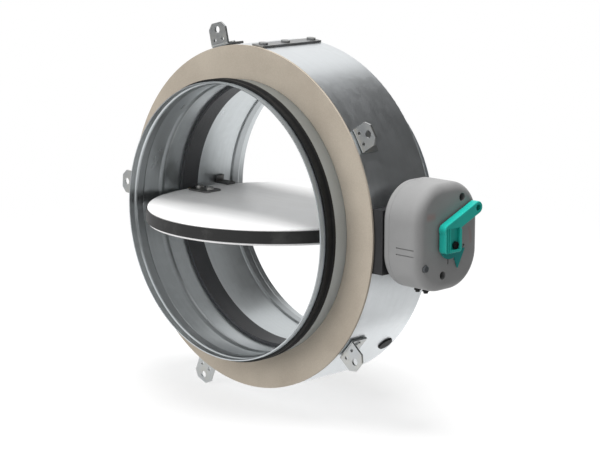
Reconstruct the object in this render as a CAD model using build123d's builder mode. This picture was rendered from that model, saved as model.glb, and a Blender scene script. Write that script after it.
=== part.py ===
from build123d import *

import os
from math import cos, degrees, radians, sin, sqrt

# Round fire damper for a 250 mm duct, in millimetres, drawn with its blade open.
# The origin is where the duct axis (Y) meets the axle axis (X). The front is towards
# -Y, the release mechanism is on +X and the lever outside it turns with the blade.

os.makedirs("parts", exist_ok=True)

# Fits
seat_gap = 0.15  # between pieces that are glued, pressed or clamped together
run_gap = 0.06  # radial running fit of a shaft in its bush
swing_gap = 0.3  # between a moving piece and a fixed one beside it
thread_gap = 0.05  # between a screw or rivet and its hole
cut_over = 1.0  # that a cut runs beyond the face it passes
join_lap = 1.0  # of two shapes of one piece that meet
screw_end_gap = 1.0  # between a screw's end and the end of its hole

# Tunnel, the steel tube that carries the air
tunnel_r = 123.0
tunnel_length = 142.0
sheet = 1.0
bend_r = 1.5
rim_width = 6.0  # plain rim outside each groove
groove_width = 10.5
groove_drop = 1.6
groove_slope = 1.6  # length of each slanted side
bead_distance = 33.0  # ahead of the axle
bead_width = 7.0
bead_depth = 1.2

# Lip seals in the two grooves
lip_proud = 2.2
lip_fin = 1.6
lip_fin_height = 1.8
lip_fin_lead = 0.6

# Swelling strip, glued inside the tunnel
strip_width = 19.2
strip_thickness = 2.85

# Drum: a steel shell round a ring of fire board
core_thickness = 30.0
drum_sheet = 0.8
drum_front = -39.8
drum_rear = 35.3
face_lip = 2.0  # thickness of the board that shows in front of the shell
rear_flange = 8.0
core_chamfer = 1.0

# Window through the drum, where the mechanism passes
window_rear = 30.0
window_half_height = 27.5

# Seam strip along the top of the drum
seam_angle = 85.0
seam_width = 14.0
seam_height = 1.6
seam_rivet_r = 4.0
seam_rivet_height = 1.4
seam_rivet_places = (-31.0, -4.0, 28.0)

# Fixing lugs
lug_count = 5
lug_first_angle = 32.0
lug_front = -35.5
lug_sheet = 2.0
lug_width = 21.5
lug_height = 21.5  # from the drum to the tip
lug_foot = 17.0
lug_fold_r = 2.5  # on the outside of the fold
lug_corner = 5.0
lug_hole_r = 3.2
lug_hole_height = 15.5
relief_hole_r = 1.6
relief_hole_height = 6.5
relief_hole_spacing = 10.0
rivet_r = 1.6
lug_rivet_head_r = 3.0
lug_rivet_head_height = 1.2
lug_rivet_taper = 20
lug_rivet_spacing = 11.0

# Rubber plug in the spare hole of the drum
spare_hole_angle = -43.5
spare_hole_place = 22.0
spare_hole_r = 6.0
plug_flange_r = 7.2
plug_flange_height = 1.4
plug_taper = 25
plug_depth = 5.0

# Blade: two fire boards with a rubber seal between their rims
blade_clearance = 0.5  # from the seal's rim to the strip
seal_proud = 1.2
seal_depth = 12.3
board_thickness = 7.4
board_skin = 2.0  # of each board beside the seal
board_edge_round = 1.4

# Axles and bushes
axle_r = 5.0
axle_lap = 20.0  # inwards from the middle of the bracket
square_ratio = 1.4  # of the square end's width to the radius
bush_wall = 2.5
bush_flange_width = 2.5
bush_flange = 2.0
bush_length = 7.5
axle_overhang = 5.8
axle_chamfer = 0.8
pocket_gap = 1.0
pocket_end_gap = 4.0
clip_thickness = 1.2
clip_width = 3.5
clip_groove = 1.0

# Brackets that clamp the axles to the blade
bracket_inset = 19.3  # from the rim of the boards
bracket_length = 26.0
bracket_width = 20.0
bracket_thickness = 1.5
bracket_corner = 3.0
bracket_screw_spacing = 14.0
bracket_screw_r = 2.0
bracket_screw_head_r = 3.8
bracket_screw_head = 2.6
bracket_screw_round = 0.7
bracket_nut_flats = 7.0
bracket_nut = 3.2
bracket_screw_proud = 1.4
hex_flats = 4.0

# Blade stops inside the tunnel
stop_sheet = 2.0
open_stop_front = 34.0
open_stop_width = 10.0
open_stop_height = 6.8
open_stop_reach = 18.0
closed_stop_angle = -40.0
closed_stop_foot = 18.0
closed_stop_width = 20.0
closed_stop_reach = 14.0

# Mechanism base, the black box between the tunnel and the housing
base_proud = 9.0  # of the drum
base_wall = 3.0
base_floor_height = 7.0  # above the tunnel
base_corner_cut = 16.0
base_screw_r = 2.0
base_screw_head_r = 3.5
base_screw_head = 2.6
base_screw_taper = 15
base_screw_depth = 14.0
base_screw_inset = 8.5

# Housing
housing_half_width = 38.5
housing_bottom = -40.0
housing_top = 51.0
housing_corner_r = 32.0
housing_depth = 40.0
housing_wall = 2.5
housing_back_depth = 8.0
housing_back_round = 5.0
housing_edge_round = 8.0
mark_depth = 0.8  # of the two slits and the index line
slit_length = 24.0
slit_width = 0.9
slit_heights = (-1.2, -6.6)
index_line_top = -6.5
index_line_bottom = -17.0
index_line_place = -0.9
index_line_width = 0.8
lock_hole_place = (18.7, -3.5)
lock_hole_r = 1.2
lock_hole_depth = 2.0

# Screws of the housing cover, as distances from the edges of the housing
upper_screw_inset = (22.5, 13.4)
lower_screw_inset = (31.2, 14.4)
cover_post_r = 5.5
cover_post_height = 13.5
cover_well_r = 3.5
cover_well_floor = 5.0
cover_screw_r = 1.6
cover_screw_head_r = 3.1
cover_screw_head = 2.6
cover_screw_bite = 6.0
cross_slot = 1.0
cross_length = 4.0

# Blank cable entries under the housing
entry_distances = (7.0, 16.0)  # from the joint of the housing
entry_offset = -10.0
entry_r = 2.2
entry_flange_r = 3.0
entry_flange = 1.0
entry_proud = 1.8
entry_taper = 10

# Closing spring and the arbor that it turns
arbor_wall = 3.5
arbor_disc_gap = 2.5
arbor_disc_thickness = 6.0
arbor_disc_r = 15.0
notch_width = 6.0
notch_floor_r = 11.5
spring_lead = 2.0
spring_width = 12.0
spring_strip = 0.8
spring_pitch = 3.0
spring_turns = 4
spring_post_r = 2.0

# Latch: the button tips the pawl about its pin
button_inset = (9.5, 23.0)  # from the front edge and the bottom of the housing
button_r = 3.0
button_proud = 1.5
button_round = 0.8
button_lift = 0.4  # above the pawl's tail
button_stem_r = 1.0
button_stem = 8.0
button_flange_r = 4.2
button_flange = 2.0
pawl_arm = 7.0  # from the button's line to the pin
pawl_tail = 3.0  # beyond the button's line
pawl_tooth_r = 13.5
pawl_gap = 2.0  # above the arbor's disc
pawl_thickness = 3.0
pawl_width = 10.0
pawl_pin_r = 1.5
pawl_boss_wall = 1.4
pawl_ear = 3.0
pawl_pin_proud = 0.5  # of each ear
tooth_length = 2.4
tooth_width = 5.0
latch_spring_r = 2.6
latch_spring_wire = 0.7
latch_spring_turns = 5

# Heat fuse, which reaches through the tunnel wall into the air
fuse_place = (-19.0, -15.0)  # (Y, Z) from the axle
fuse_r = 5.0
fuse_bore_r = 3.4
fuse_reach = 19.0
fuse_top = 10.0  # above the floor of the base
fuse_cap = 2.0
fuse_flange_r = 6.2
fuse_flange = 3.0
link_proud = 14.0
link_width = 6.4
link_thickness = 1.0
link_hole_r = 1.3
link_hole_inset = 3.5
trip_pin_r = 1.2
trip_pin_head = 4.0

# Pointer under the lever, with its arrow's corners as (Y, Z) from the axle
pointer_gap = 0.5
pointer_thickness = 1.2
pointer_hub_r = 12.5
arrow_left = (3.4, -6.5)
arrow_tip = (9.7, -21.4)
arrow_right = (18.5, -5.5)

# Lever outside the housing: a block on the axle with an arm along its top
lever_depth = 7.0
block_front = -14.0
block_rear = 7.0
block_bottom = -6.0
block_top = 15.0
block_round = 3.0
groove_places = (-11.8, -9.8)
groove_line = 1.0
groove_line_depth = 0.6
lever_angle = 22.0
arm_offset = 16.1  # of the arm's middle line from the axle
arm_start = -9.0
arm_end = 41.0
arm_width = 10.5
arm_hole_r = 2.8
arm_hole_inset = 5.5
lever_edge_round = 1.0
socket_front = -7.8
socket_rear = 3.4
socket_bottom = -3.4
socket_top = 14.8
socket_depth = 2.6
lever_web = 1.2
lever_screw_r = 1.8
lever_screw_head_r = 3.2
lever_screw_head = 2.0
lever_screw_depth = 12.0

# Places worked out from the sizes above
tunnel_bore = tunnel_r - sheet
groove_r = tunnel_r - groove_drop
front_end = -tunnel_length / 2
rear_end = tunnel_length / 2
lip_r = tunnel_r + lip_proud
strip_r = tunnel_bore - seat_gap
strip_bore = strip_r - strip_thickness
drum_r = tunnel_r + core_thickness
shell_front = drum_front + face_lip
shell_bore = drum_r - drum_sheet
core_r = shell_bore - seat_gap
core_rear = drum_rear - drum_sheet - seat_gap
window_height = 2 * window_half_height
window_length = window_rear - shell_front
window_middle = (window_rear + shell_front) / 2
lug_tip_r = drum_r + lug_height
lug_hole_circle_r = drum_r + lug_hole_height
relief_hole_circle_r = drum_r + relief_hole_height
lug_rivet_place = lug_front + lug_sheet + lug_foot / 2
seal_rim_r = strip_bore - blade_clearance
board_r = seal_rim_r - seal_proud
seal_inner_r = board_r - seal_depth
seal_half = board_thickness - board_skin
blade_reach = sqrt(seal_rim_r**2 + seal_half**2)
bracket_place = board_r - bracket_inset
axle_inner_end = bracket_place - axle_lap
square_flats = square_ratio * axle_r
square_hole = square_flats + 2 * thread_gap
bush_r = axle_r + bush_wall
bush_flange_r = bush_r + bush_flange_width
bush_start = blade_reach + swing_gap
bush_seat = tunnel_r + seat_gap
bush_end = bush_seat + bush_length
clip_place = bush_end + swing_gap + clip_thickness / 2
clip_r = axle_r + clip_width
clip_groove_r = axle_r - clip_groove
idle_axle_end = clip_place + axle_overhang
idle_pocket_r = bush_flange_r + pocket_gap
idle_pocket_end = idle_axle_end + pocket_end_gap
screw_line = (bracket_place - bracket_screw_spacing / 2, bracket_place + bracket_screw_spacing / 2)
screw_places = [(place, 0) for place in (*screw_line, -screw_line[0], -screw_line[1])]
bracket_top = board_thickness + bracket_thickness
bracket_screw_end = board_thickness + bracket_nut + bracket_screw_proud
stop_r = tunnel_bore - seat_gap
base_start = tunnel_bore * cos(radians(45))
base_floor = tunnel_r + base_floor_height
base_end = drum_r + base_proud
base_length = window_length - 2 * seat_gap
base_height = window_height - 2 * seat_gap
screw_front = window_middle - base_length / 2 + base_screw_inset
screw_rear = window_middle + base_length / 2 - base_screw_inset
screw_height = base_height / 2 - base_screw_inset
base_screw_places = ((screw_rear, screw_height), (screw_rear, -screw_height), (screw_front, screw_height))
housing_face = base_end + housing_depth
housing_inside = housing_face - housing_wall
tray_floor = base_end + housing_wall
cover_start = base_end + housing_back_depth
housing_middle = (housing_top + housing_bottom) / 2
housing_height = housing_top - housing_bottom
inner_width = 2 * (housing_half_width - housing_wall)
inner_height = housing_height - 2 * housing_wall
inner_corner_r = housing_corner_r - housing_wall
inner_round = housing_edge_round - housing_wall
cover_screw_places = (
    (housing_half_width - upper_screw_inset[0], housing_top - upper_screw_inset[1]),
    (lower_screw_inset[0] - housing_half_width, housing_bottom + lower_screw_inset[1]),
)
cover_post_end = tray_floor + cover_post_height
well_floor = cover_post_end + cover_well_floor
cover_screw_end = cover_post_end - cover_screw_bite
arbor_hub_r = axle_r + arbor_wall
fuse_end = base_floor + fuse_top
arbor_start = fuse_end
square_start = arbor_start - spring_lead
arbor_disc_start = tray_floor + arbor_disc_gap
arbor_disc_end = arbor_disc_start + arbor_disc_thickness
spring_start = arbor_start + spring_lead
spring_inner_r = arbor_hub_r + swing_gap + spring_strip / 2
spring_outer_r = spring_inner_r + spring_strip / 2 + spring_turns * spring_pitch
button_place = (button_inset[0] - housing_half_width, housing_bottom + button_inset[1])
button_distance = sqrt(button_place[0] ** 2 + button_place[1] ** 2)
pawl_pin_distance = button_distance - pawl_arm
pawl_bottom = arbor_disc_end + pawl_gap
pawl_top = pawl_bottom + pawl_thickness
pawl_pin_height = pawl_bottom + pawl_thickness / 2
pawl_boss_r = pawl_pin_r + pawl_boss_wall
fuse_tip = tunnel_r - fuse_reach
link_tip = fuse_tip - link_proud
link_end = fuse_tip + 2 * fuse_cap
trip_pin_start = link_end + seat_gap
trip_pin_end = pawl_pin_height - pawl_boss_r - swing_gap
pointer_start = housing_face + pointer_gap
lever_start = pointer_start + pointer_thickness + seat_gap
lever_end = lever_start + lever_depth
socket_floor = lever_end - socket_depth
axle_outer_end = socket_floor - lever_web - seat_gap


def section_plane(angle):
    """Plane through the duct axis: local x is the radius at this angle, local y the duct axis."""
    outward = (cos(radians(angle)), 0, sin(radians(angle)))
    normal = (-sin(radians(angle)), 0, cos(radians(angle)))
    return Plane(origin=(0, 0, 0), x_dir=outward, z_dir=normal)


def cross_plane(angle, place):
    """Plane across the duct at this place: local x is the radius at this angle."""
    outward = (cos(radians(angle)), 0, sin(radians(angle)))
    return Plane(origin=(0, place, 0), x_dir=outward, z_dir=(0, 1, 0))


def outward_plane(angle, place, radius):
    """Plane tangent to a cylinder round the duct axis, with its normal pointing outwards."""
    outward = (cos(radians(angle)), 0, sin(radians(angle)))
    middle = (radius * outward[0], place, radius * outward[2])
    return Plane(origin=middle, x_dir=(0, 1, 0), z_dir=outward)


# Tunnel
with BuildPart() as tunnel:
    with BuildSketch(Plane.XY):
        with BuildLine():
            FilletPolyline(
                (tunnel_r, front_end),
                (tunnel_r, front_end + rim_width),
                (groove_r, front_end + rim_width + groove_slope),
                (groove_r, front_end + rim_width + groove_width - groove_slope),
                (tunnel_r, front_end + rim_width + groove_width),
                (tunnel_r, -bead_distance - bead_width / 2),
                (tunnel_r - bead_depth, -bead_distance),
                (tunnel_r, -bead_distance + bead_width / 2),
                (tunnel_r, rear_end - rim_width - groove_width),
                (groove_r, rear_end - rim_width - groove_width + groove_slope),
                (groove_r, rear_end - rim_width - groove_slope),
                (tunnel_r, rear_end - rim_width),
                (tunnel_r, rear_end),
                radius=bend_r,
            )
            offset(amount=sheet, side=Side.LEFT)
        make_face()
    revolve(axis=Axis.Y)
    # Holes for the two axle bushes and for the heat fuse
    with BuildSketch(Plane.YZ):
        Circle(bush_r + seat_gap)
    extrude(amount=tunnel_r + cut_over, both=True, mode=Mode.SUBTRACT)
    with BuildSketch(Plane.YZ):
        with Locations(fuse_place):
            Circle(fuse_r + seat_gap)
    extrude(amount=tunnel_r + cut_over, mode=Mode.SUBTRACT)

tunnel.part.label = "tunnel"
export_step(tunnel.part, "parts/tunnel.step")

# Lip seals: a rubber band with two fins, one in each groove
for seal_name, seal_front in (
    ("front_lip_seal", front_end + rim_width),
    ("rear_lip_seal", rear_end - rim_width - groove_width),
):
    seal_rear = seal_front + groove_width
    side_gap = 1.5 * seat_gap
    floor_side = groove_slope + seat_gap / 2
    band_r = lip_r - lip_fin_height
    with BuildPart() as lip_seal:
        with BuildSketch(Plane.XY):
            with BuildLine():
                Polyline(
                    (groove_r + seat_gap, seal_front + floor_side),
                    (tunnel_r, seal_front + side_gap),
                    (band_r, seal_front + side_gap),
                    (lip_r, seal_front + lip_fin_lead),
                    (lip_r, seal_front + lip_fin_lead + lip_fin),
                    (band_r, seal_front + 2 * lip_fin),
                    (band_r, seal_rear - 2 * lip_fin),
                    (lip_r, seal_rear - lip_fin_lead - lip_fin),
                    (lip_r, seal_rear - lip_fin_lead),
                    (band_r, seal_rear - side_gap),
                    (tunnel_r, seal_rear - side_gap),
                    (groove_r + seat_gap, seal_rear - floor_side),
                    close=True,
                )
            make_face()
        revolve(axis=Axis.Y)

    lip_seal.part.label = seal_name
    export_step(lip_seal.part, f"parts/{seal_name}.step")

# Swelling strip inside the tunnel, in line with the closed blade
with BuildPart() as intumescent_strip:
    with BuildSketch(Plane.XZ.offset(strip_width / 2)):
        Circle(strip_r)
        Circle(strip_bore, mode=Mode.SUBTRACT)
    extrude(amount=-strip_width)
    with BuildSketch(Plane.YZ):
        Circle(bush_r + seat_gap)
    extrude(amount=tunnel_r, both=True, mode=Mode.SUBTRACT)

intumescent_strip.part.label = "intumescent_strip"
export_step(intumescent_strip.part, "parts/intumescent_strip.step")

# Ring of fire board, with a front lip as wide as the shell
with BuildPart() as core_ring:
    with BuildSketch(Plane.XY):
        with BuildLine():
            Polyline(
                (tunnel_r + seat_gap, drum_front),
                (drum_r, drum_front),
                (drum_r, shell_front - seat_gap),
                (core_r, shell_front - seat_gap),
                (core_r, core_rear - core_chamfer),
                (core_r - core_chamfer, core_rear),
                (tunnel_r + seat_gap, core_rear),
                close=True,
            )
        make_face()
    revolve(axis=Axis.Y)
    # Window for the mechanism on one side, pocket for the idle axle on the other
    with BuildSketch(Plane.YZ):
        with Locations((window_middle, 0)):
            Rectangle(window_length, window_height)
    extrude(amount=drum_r + cut_over, mode=Mode.SUBTRACT)
    with BuildSketch(Plane.YZ):
        Circle(idle_pocket_r)
    extrude(amount=-idle_pocket_end, mode=Mode.SUBTRACT)
    # Pocket behind the plug in the spare hole
    with BuildSketch(outward_plane(spare_hole_angle, spare_hole_place, shell_bore - plug_depth - seat_gap)):
        Circle(spare_hole_r + seat_gap)
    extrude(amount=plug_depth + drum_sheet, mode=Mode.SUBTRACT)

core_ring.part.label = "core_ring"
export_step(core_ring.part, "parts/core_ring.step")

# Steel shell of the drum, turned in at the rear
with BuildPart() as drum_shell:
    with BuildSketch(Plane.XY):
        with BuildLine():
            FilletPolyline(
                (drum_r, shell_front),
                (drum_r, drum_rear),
                (drum_r - rear_flange, drum_rear),
                radius=bend_r,
            )
            offset(amount=drum_sheet, side=Side.LEFT)
        make_face()
    revolve(axis=Axis.Y)
    with BuildSketch(Plane.YZ):
        with Locations((window_middle, 0)):
            Rectangle(window_length, window_height)
    extrude(amount=drum_r + cut_over, mode=Mode.SUBTRACT)
    with BuildSketch(outward_plane(spare_hole_angle, spare_hole_place, shell_bore - cut_over)):
        Circle(spare_hole_r)
    extrude(amount=drum_sheet + 2 * cut_over, mode=Mode.SUBTRACT)
    # Rivet holes under the lugs and the seam strip
    for lug in range(lug_count):
        lug_angle = lug_first_angle + lug * 360 / lug_count
        with BuildSketch(outward_plane(lug_angle, lug_rivet_place, shell_bore - cut_over)):
            with GridLocations(0, lug_rivet_spacing, 1, 2):
                Circle(rivet_r + thread_gap)
        extrude(amount=drum_sheet + 2 * cut_over, mode=Mode.SUBTRACT)
    for place in seam_rivet_places:
        with BuildSketch(outward_plane(seam_angle, place, shell_bore - cut_over)):
            Circle(rivet_r + thread_gap)
        extrude(amount=drum_sheet + 2 * cut_over, mode=Mode.SUBTRACT)

drum_shell.part.label = "drum_shell"
export_step(drum_shell.part, "parts/drum_shell.step")

# Strip over the seam of the shell
with BuildPart() as drum_seam_strip:
    seam_arc = degrees(seam_width / drum_r)
    with BuildSketch(section_plane(seam_angle + seam_arc / 2)):
        with BuildLine():
            Polyline(
                (drum_r + seat_gap, shell_front),
                (drum_r + seat_gap + seam_height, shell_front),
                (drum_r + seat_gap + seam_height, drum_rear - bend_r),
                (drum_r + seat_gap, drum_rear - bend_r),
                close=True,
            )
        make_face()
    revolve(axis=Axis.Y, revolution_arc=seam_arc)
    for place in seam_rivet_places:
        with BuildSketch(outward_plane(seam_angle, place, drum_r - cut_over)):
            Circle(rivet_r + thread_gap)
        extrude(amount=seam_height + 2 * cut_over, mode=Mode.SUBTRACT)

drum_seam_strip.part.label = "drum_seam_strip"
export_step(drum_seam_strip.part, "parts/drum_seam_strip.step")

# Rivets of the seam strip
with BuildPart() as seam_rivets:
    for place in seam_rivet_places:
        with BuildSketch(outward_plane(seam_angle, place, shell_bore + thread_gap)):
            Circle(rivet_r)
        extrude(amount=drum_sheet + seam_height + 2 * seat_gap)
        with BuildSketch(outward_plane(seam_angle, place, drum_r + seam_height + 2 * seat_gap)):
            Circle(seam_rivet_r)
        extrude(amount=seam_rivet_height)

seam_rivets.part.label = "seam_rivets"
export_step(seam_rivets.part, "parts/seam_rivets.step")

# Fixing lugs: a folded plate with one fixing hole and two relief holes
for lug in range(lug_count):
    lug_angle = lug_first_angle + lug * 360 / lug_count
    lug_name = f"fixing_lug_{lug + 1}"
    outward_axis = Axis((0, 0, 0), (cos(radians(lug_angle)), 0, sin(radians(lug_angle))))
    with BuildPart() as fixing_lug:
        with BuildSketch(section_plane(lug_angle)):
            with BuildLine():
                FilletPolyline(
                    (lug_tip_r, lug_front),
                    (drum_r + seat_gap, lug_front),
                    (drum_r + seat_gap, lug_front + lug_sheet + lug_foot),
                    radius=lug_fold_r,
                )
                offset(amount=lug_sheet, side=Side.RIGHT)
            make_face()
        extrude(amount=lug_width / 2, both=True)
        tip_edges = fixing_lug.edges().filter_by(Axis.Y).sort_by(outward_axis)[-2:]
        chamfer(tip_edges, lug_corner)
        with BuildSketch(cross_plane(lug_angle, lug_front)):
            with Locations((lug_hole_circle_r, 0)):
                Circle(lug_hole_r)
            with Locations((relief_hole_circle_r, 0)):
                with GridLocations(0, relief_hole_spacing, 1, 2):
                    Circle(relief_hole_r)
        extrude(amount=lug_sheet + cut_over, both=True, mode=Mode.SUBTRACT)
        with BuildSketch(outward_plane(lug_angle, lug_rivet_place, drum_r)):
            with GridLocations(0, lug_rivet_spacing, 1, 2):
                Circle(rivet_r + thread_gap)
        extrude(amount=lug_sheet + cut_over, mode=Mode.SUBTRACT)

    fixing_lug.part.label = lug_name
    export_step(fixing_lug.part, f"parts/{lug_name}.step")

# Rivets of the lugs
with BuildPart() as lug_rivets:
    for lug in range(lug_count):
        lug_angle = lug_first_angle + lug * 360 / lug_count
        with BuildSketch(outward_plane(lug_angle, lug_rivet_place, shell_bore + thread_gap)):
            with GridLocations(0, lug_rivet_spacing, 1, 2):
                Circle(rivet_r)
        extrude(amount=drum_sheet + lug_sheet + 2 * seat_gap)
        with BuildSketch(outward_plane(lug_angle, lug_rivet_place, drum_r + lug_sheet + 2 * seat_gap)):
            with GridLocations(0, lug_rivet_spacing, 1, 2):
                Circle(lug_rivet_head_r)
        extrude(amount=lug_rivet_head_height, taper=lug_rivet_taper)

lug_rivets.part.label = "lug_rivets"
export_step(lug_rivets.part, "parts/lug_rivets.step")

# Rubber plug in the spare hole
with BuildPart() as spare_hole_plug:
    with BuildSketch(outward_plane(spare_hole_angle, spare_hole_place, shell_bore - plug_depth)):
        Circle(spare_hole_r - seat_gap)
    extrude(amount=plug_depth + drum_sheet + seat_gap)
    with BuildSketch(outward_plane(spare_hole_angle, spare_hole_place, drum_r + seat_gap)):
        Circle(plug_flange_r)
    extrude(amount=plug_flange_height, taper=plug_taper)

spare_hole_plug.part.label = "spare_hole_plug"
export_step(spare_hole_plug.part, "parts/spare_hole_plug.step")

# Stop that holds the open blade level, spot-welded inside the tunnel
with BuildPart() as open_stop:
    stop_bottom = board_thickness + swing_gap
    with BuildSketch(Plane.XZ.offset(-open_stop_front)):
        Circle(stop_r)
        Circle(stop_r - stop_sheet, mode=Mode.SUBTRACT)
        with Locations((-stop_r, stop_bottom + open_stop_height / 2)):
            Rectangle(stop_r, open_stop_height, mode=Mode.INTERSECT)
        with Locations((-stop_r + (stop_sheet + open_stop_reach) / 2, stop_bottom + stop_sheet / 2)):
            Rectangle(open_stop_reach - stop_sheet + join_lap, stop_sheet)
    extrude(amount=-open_stop_width)

open_stop.part.label = "open_stop"
export_step(open_stop.part, "parts/open_stop.step")

# Stop that the closed blade meets low on the mechanism's side, with a nose over the strip
with BuildPart() as closed_stop:
    nose_rear = -board_thickness - swing_gap
    foot_rear = -strip_width / 2 - seat_gap
    upstand_middle = stop_r - (stop_sheet + closed_stop_reach) / 2
    upstand_height = closed_stop_reach - stop_sheet + join_lap
    with BuildSketch(cross_plane(closed_stop_angle, foot_rear)):
        Circle(stop_r)
        Circle(stop_r - stop_sheet, mode=Mode.SUBTRACT)
        with Locations((stop_r, 0)):
            Rectangle(stop_r, closed_stop_width, mode=Mode.INTERSECT)
    extrude(amount=-closed_stop_foot)
    with BuildSketch(cross_plane(closed_stop_angle, foot_rear)):
        with Locations((upstand_middle, 0)):
            Rectangle(upstand_height, closed_stop_width)
    extrude(amount=-stop_sheet)
    with BuildSketch(cross_plane(closed_stop_angle, nose_rear)):
        with Locations((upstand_middle, 0)):
            Rectangle(upstand_height, closed_stop_width)
        Circle(strip_bore - seat_gap, mode=Mode.INTERSECT)
    extrude(amount=foot_rear - nose_rear - stop_sheet)

closed_stop.part.label = "closed_stop"
export_step(closed_stop.part, "parts/closed_stop.step")

# Flanged bushes in the tunnel wall
for bush_name, side in (("drive_bush", 1), ("idle_bush", -1)):
    with BuildPart() as bush:
        with BuildSketch(Plane.YZ.offset(side * bush_start)):
            Circle(bush_r)
        extrude(amount=side * (bush_end - bush_start))
        with BuildSketch(Plane.YZ.offset(side * bush_seat)):
            Circle(bush_flange_r)
        extrude(amount=side * bush_flange)
        with BuildSketch(Plane.YZ):
            Circle(axle_r + run_gap)
        extrude(amount=side * (bush_end + cut_over), mode=Mode.SUBTRACT)

    bush.part.label = bush_name
    export_step(bush.part, f"parts/{bush_name}.step")

# Boards of the blade, one above and one below the axle line
for board_name, side in (("blade_upper_plate", 1), ("blade_lower_plate", -1)):
    with BuildPart() as board:
        with BuildSketch(Plane.XZ):
            with BuildLine():
                Polyline(
                    (0, 0),
                    (seal_inner_r, 0),
                    (seal_inner_r, side * seal_half),
                    (board_r, side * seal_half),
                    (board_r, side * board_thickness),
                    (0, side * board_thickness),
                    close=True,
                )
            make_face()
        revolve(axis=Axis.Z)
        outer_face = board.faces().filter_by(Plane.XY).sort_by(Axis.Z)[-1 if side > 0 else 0]
        fillet(outer_face.edges(), board_edge_round)
        with BuildSketch(Plane.YZ.offset(axle_inner_end - seat_gap)):
            Circle(axle_r + seat_gap)
        extrude(amount=board_r, mode=Mode.SUBTRACT)
        with BuildSketch(Plane.YZ.offset(seat_gap - axle_inner_end)):
            Circle(axle_r + seat_gap)
        extrude(amount=-board_r, mode=Mode.SUBTRACT)
        with BuildSketch(Plane.XY):
            with Locations(screw_places):
                Circle(bracket_screw_r + seat_gap)
        extrude(amount=board_thickness, both=True, mode=Mode.SUBTRACT)

    board.part.label = board_name
    export_step(board.part, f"parts/{board_name}.step")

# Rubber seal round the blade, in two halves that meet the axles
for seal_name, side in (("blade_seal_front", -1), ("blade_seal_rear", 1)):
    with BuildPart() as blade_seal:
        with BuildSketch(Plane.XY.offset(seat_gap - seal_half)):
            Circle(seal_rim_r)
            Circle(seal_inner_r + seat_gap, mode=Mode.SUBTRACT)
            with Locations((0, side * (axle_r + seat_gap + seal_rim_r / 2))):
                Rectangle(2 * seal_rim_r, seal_rim_r, mode=Mode.INTERSECT)
        extrude(amount=2 * (seal_half - seat_gap))

    blade_seal.part.label = seal_name
    export_step(blade_seal.part, f"parts/{seal_name}.step")

# Brackets on the blade
for bracket_name, side in (("drive_bracket", 1), ("idle_bracket", -1)):
    with BuildPart() as bracket:
        with BuildSketch(Plane.XY.offset(board_thickness)):
            with Locations((side * bracket_place, 0)):
                RectangleRounded(bracket_length, bracket_width, bracket_corner)
            with Locations((side * screw_line[0], 0), (side * screw_line[1], 0)):
                Circle(bracket_screw_r + thread_gap, mode=Mode.SUBTRACT)
        extrude(amount=bracket_thickness)

    bracket.part.label = bracket_name
    export_step(bracket.part, f"parts/{bracket_name}.step")

# Screws and nuts of the brackets
with BuildPart() as bracket_screws:
    for place in screw_places:
        with BuildSketch(Plane.XY.offset(-bracket_screw_end)):
            with Locations(place):
                Circle(bracket_screw_r)
        extrude(amount=bracket_screw_end + bracket_top)
        with BuildSketch(Plane.XY.offset(bracket_top)):
            with Locations(place):
                Circle(bracket_screw_head_r)
        extrude(amount=bracket_screw_head)
        with BuildSketch(Plane.XY.offset(bracket_top + bracket_screw_head)):
            with Locations(place):
                RegularPolygon(hex_flats / 2, 6, major_radius=False)
        extrude(amount=-bracket_screw_head / 2, mode=Mode.SUBTRACT)
    head_rims = bracket_screws.edges().filter_by(GeomType.CIRCLE).group_by(Axis.Z)[-1]
    fillet(head_rims, bracket_screw_round)

bracket_screws.part.label = "bracket_screws"
export_step(bracket_screws.part, "parts/bracket_screws.step")

with BuildPart() as bracket_nuts:
    for place in screw_places:
        with BuildSketch(Plane.XY.offset(-board_thickness)):
            with Locations(place):
                RegularPolygon(bracket_nut_flats / 2, 6, major_radius=False)
                Circle(bracket_screw_r + thread_gap, mode=Mode.SUBTRACT)
        extrude(amount=-bracket_nut)

bracket_nuts.part.label = "bracket_nuts"
export_step(bracket_nuts.part, "parts/bracket_nuts.step")

# Drive axle: round in the blade and bush, square where it carries the arbor and the lever
with BuildPart() as drive_axle:
    with BuildSketch(Plane.YZ.offset(axle_inner_end)):
        Circle(axle_r)
    extrude(amount=square_start - axle_inner_end)
    with BuildSketch(Plane.YZ.offset(square_start)):
        Rectangle(square_flats, square_flats)
    extrude(amount=axle_outer_end - square_start)
    with BuildSketch(Plane.XY):
        with Locations((screw_line[0], 0), (screw_line[1], 0)):
            Circle(bracket_screw_r + thread_gap)
    extrude(amount=axle_r + cut_over, both=True, mode=Mode.SUBTRACT)
    with BuildSketch(Plane.YZ.offset(axle_outer_end)):
        Circle(lever_screw_r + thread_gap)
    extrude(amount=-lever_screw_depth, mode=Mode.SUBTRACT)

drive_axle.part.label = "drive_axle"
export_step(drive_axle.part, "parts/drive_axle.step")

# Idle axle on the far side, with a groove for its clip
with BuildPart() as idle_axle:
    with BuildSketch(Plane.YZ.offset(-axle_inner_end)):
        Circle(axle_r)
    extrude(amount=-(idle_axle_end - axle_inner_end))
    with BuildSketch(Plane.XY):
        with Locations((-screw_line[0], 0), (-screw_line[1], 0)):
            Circle(bracket_screw_r + thread_gap)
    extrude(amount=axle_r + cut_over, both=True, mode=Mode.SUBTRACT)
    with BuildSketch(Plane.YZ.offset(-clip_place + clip_thickness / 2 + thread_gap)):
        Circle(axle_r + cut_over)
        Circle(clip_groove_r, mode=Mode.SUBTRACT)
    extrude(amount=-(clip_thickness + 2 * thread_gap), mode=Mode.SUBTRACT)
    chamfer(idle_axle.edges().group_by(Axis.X)[0], axle_chamfer)

idle_axle.part.label = "idle_axle"
export_step(idle_axle.part, "parts/idle_axle.step")

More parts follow.
